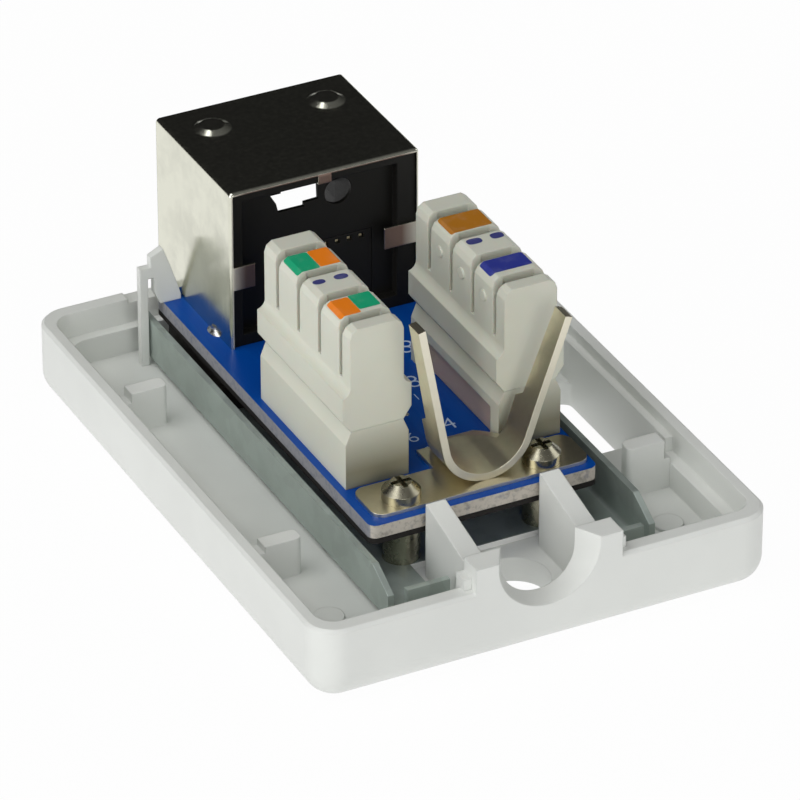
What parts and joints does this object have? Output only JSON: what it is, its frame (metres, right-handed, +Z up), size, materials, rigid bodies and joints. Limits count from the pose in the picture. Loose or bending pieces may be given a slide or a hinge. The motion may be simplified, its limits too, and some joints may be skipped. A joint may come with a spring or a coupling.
{
  "type": "surface mount jack box",
  "caption": "Surface mount jack box with its cover off: moulded tray, steel channel, circuit board with shielded modular jack, slotted wire termination blocks and a sprung cable clamp.",
  "frame": {"origin": "middle of the tray's underside, on the plane it stands or is screwed down on", "axes": "+Z up away from the mounting surface, +Y along the long side towards the jack's port, +X to the right when looking along +Y"},
  "size_m": [0.038, 0.0512, 0.0223],
  "materials": {
    "base_plastic": "satin moulded, pale grey-white",
    "galvanised_sheet": "zinc plated sheet, dull",
    "black_plastic": "moulded, slight sheen",
    "board": "blue lacquer over glass-fibre laminate",
    "plated_sheet": "bright tin plated sheet",
    "contact_gold": "gold plated wire",
    "contact_tin": "tin plated blade",
    "block_plastic": "moulded, off-white, satin",
    "clamp_steel": "bright rolled spring steel",
    "screw_steel": "nickel plated"
  },
  "bodies": {
    "root": {"base_tray": "base_plastic", "shield_channel": "galvanised_sheet", "board_spacer": "black_plastic", "circuit_board": "board", "jack_shield": "plated_sheet", "jack_housing": "black_plastic", "contact_carrier": "black_plastic", "jack_contact_1": "contact_gold", "jack_contact_2": "contact_gold", "jack_contact_3": "contact_gold", "jack_contact_4": "contact_gold", "jack_contact_5": "contact_gold", "jack_contact_6": "contact_gold", "jack_contact_7": "contact_gold", "jack_contact_8": "contact_gold", "idc_base_left": "block_plastic", "idc_base_right": "block_plastic", "idc_top_left": "block_plastic", "idc_top_right": "block_plastic", "idc_contact_left_1": "contact_tin", "idc_contact_left_2": "contact_tin", "idc_contact_left_3": "contact_tin", "idc_contact_left_4": "contact_tin", "idc_contact_right_1": "contact_tin", "idc_contact_right_2": "contact_tin", "idc_contact_right_3": "contact_tin", "idc_contact_right_4": "contact_tin", "clamp_plate": "clamp_steel", "clamp_strap": "clamp_steel", "clamp_screw_left": "screw_steel", "clamp_screw_right": "screw_steel", "clamp_nut_left": "screw_steel", "clamp_nut_right": "screw_steel"}
  },
  "joints": []
}
